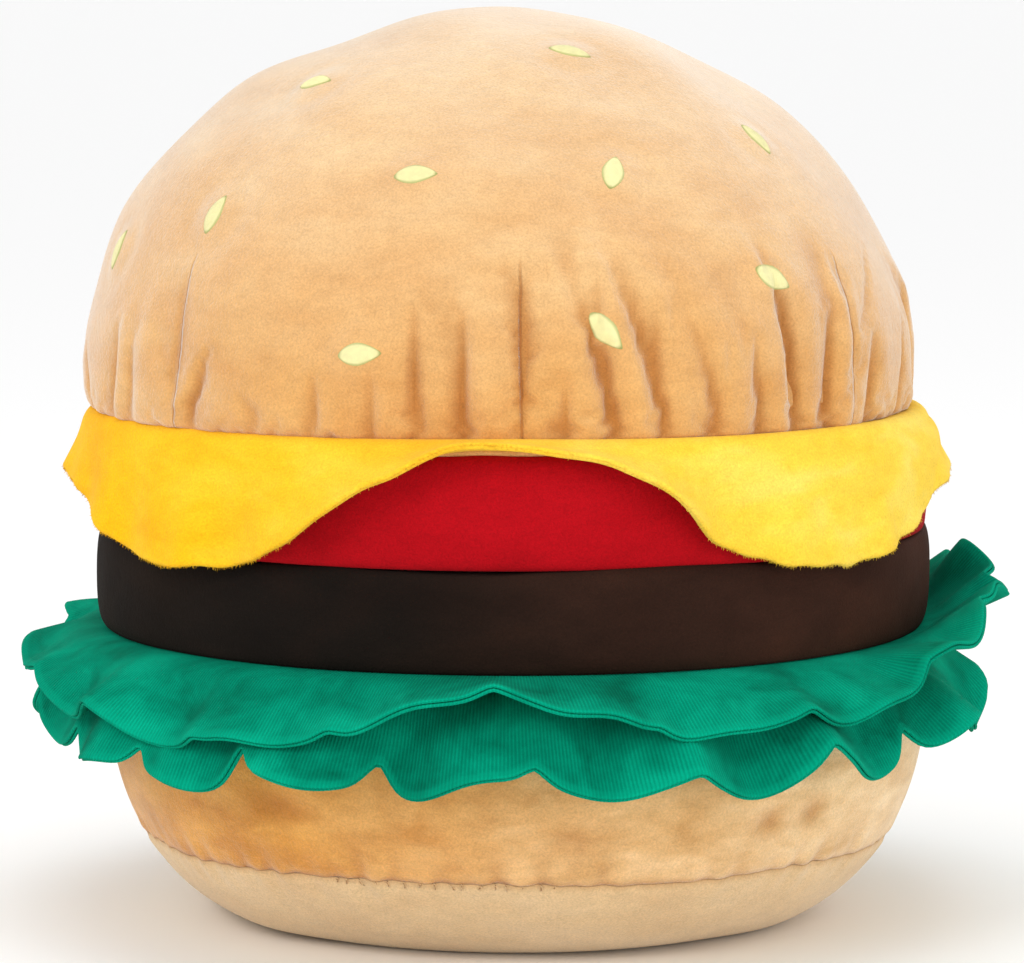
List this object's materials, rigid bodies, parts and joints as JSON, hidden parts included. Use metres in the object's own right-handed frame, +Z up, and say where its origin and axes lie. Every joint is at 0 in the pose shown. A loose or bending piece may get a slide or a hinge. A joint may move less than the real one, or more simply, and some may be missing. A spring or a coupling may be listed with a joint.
{
  "type": "stuffed hamburger cushion",
  "caption": "Round plush cushion in the shape of a hamburger, with bun halves, cheese slice, tomato and patty layers, and two scalloped lettuce frills.",
  "frame": {"origin": "centre of the flat spot under the bottom bun, on the floor", "axes": "+Z up through the stack, -Y the front, +X to the right of a person facing the front"},
  "size_m": [0.4351, 0.4317, 0.382],
  "materials": {
    "bun_plush": "short soft plush, golden tan, brushed in patches",
    "base_plush": "short soft plush, pale tan",
    "cheese_plush": "short plush, yellow, with a raw fuzzy edge",
    "tomato_velour": "short plush, red, matte",
    "patty_velour": "short plush, near-black brown",
    "lettuce_velour": "ribbed knit velour, green",
    "seed_embroidery": "satin-stitch embroidery, cream yellow",
    "bun_thread": "polyester sewing thread, tan",
    "lettuce_thread": "polyester sewing thread, green",
    "tomato_thread": "polyester sewing thread, red",
    "label_satin": "woven satin ribbon, white, blank",
    "stuffing": "white polyester fibre"
  },
  "bodies": {
    "root": {"base_panel": "base_plush", "bottom_bun_side": "bun_plush", "base_seam_thread": "bun_thread", "closing_stitches": "bun_thread", "care_label": "label_satin", "lettuce_lower_back": "lettuce_velour", "lettuce_lower_face": "lettuce_velour", "lettuce_upper_back": "lettuce_velour", "lettuce_upper_face": "lettuce_velour", "lettuce_seam_thread": "lettuce_thread", "patty_band": "patty_velour", "patty_seam_thread": "tomato_thread", "tomato_band": "tomato_velour", "tomato_seam_thread": "tomato_thread", "top_bun_underside": "bun_plush", "cheese_slice": "cheese_plush", "cheese_seam_thread": "bun_thread", "top_bun_cover": "bun_plush", "lower_fill": "stuffing", "top_bun_fill": "stuffing", "sesame_seed_01": "seed_embroidery", "sesame_seed_02": "seed_embroidery", "sesame_seed_03": "seed_embroidery", "sesame_seed_04": "seed_embroidery", "sesame_seed_05": "seed_embroidery", "sesame_seed_06": "seed_embroidery", "sesame_seed_07": "seed_embroidery", "sesame_seed_08": "seed_embroidery", "sesame_seed_09": "seed_embroidery", "sesame_seed_10": "seed_embroidery", "sesame_seed_11": "seed_embroidery", "sesame_seed_12": "seed_embroidery", "sesame_seed_13": "seed_embroidery", "sesame_seed_14": "seed_embroidery", "sesame_seed_15": "seed_embroidery", "sesame_seed_16": "seed_embroidery", "sesame_seed_17": "seed_embroidery", "sesame_seed_18": "seed_embroidery", "sesame_seed_19": "seed_embroidery", "sesame_seed_20": "seed_embroidery"}
  },
  "joints": []
}
